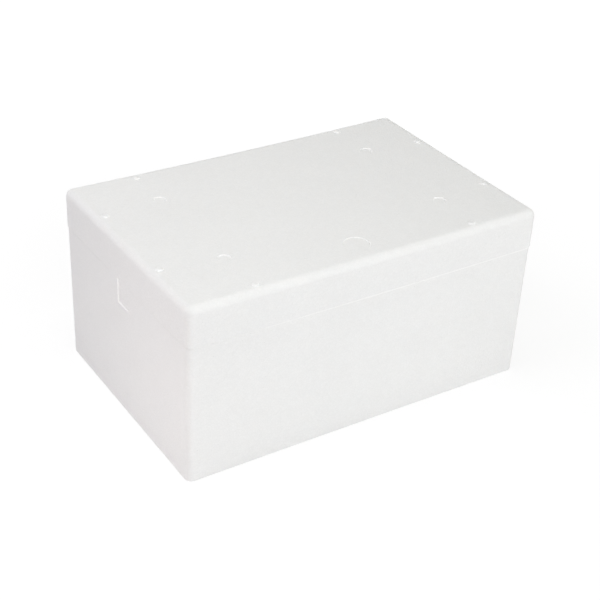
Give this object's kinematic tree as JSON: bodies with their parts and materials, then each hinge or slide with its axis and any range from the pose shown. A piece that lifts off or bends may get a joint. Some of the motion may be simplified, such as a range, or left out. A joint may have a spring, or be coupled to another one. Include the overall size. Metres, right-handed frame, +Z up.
{
  "type": "polystyrene foam box",
  "caption": "Insulated transport box of white expanded polystyrene: a thick-walled tub with a tongued rim and a lift-off lid.",
  "frame": {"origin": "middle of the flat underside", "axes": "+X along the box's length, +Y across it, +Z up out of the cavity"},
  "size_m": [0.598, 0.396, 0.2918],
  "materials": {
    "base_foam": "matte",
    "lid_foam": "matte"
  },
  "bodies": {
    "base": {"box_base": "base_foam"},
    "lid": {"box_lid": "lid_foam"}
  },
  "joints": [
    {"name": "lid_lift", "type": "slide", "parent": "base", "child": "lid", "axis": [0, 0, 1], "range_m": [0, 0.3]}
  ]
}
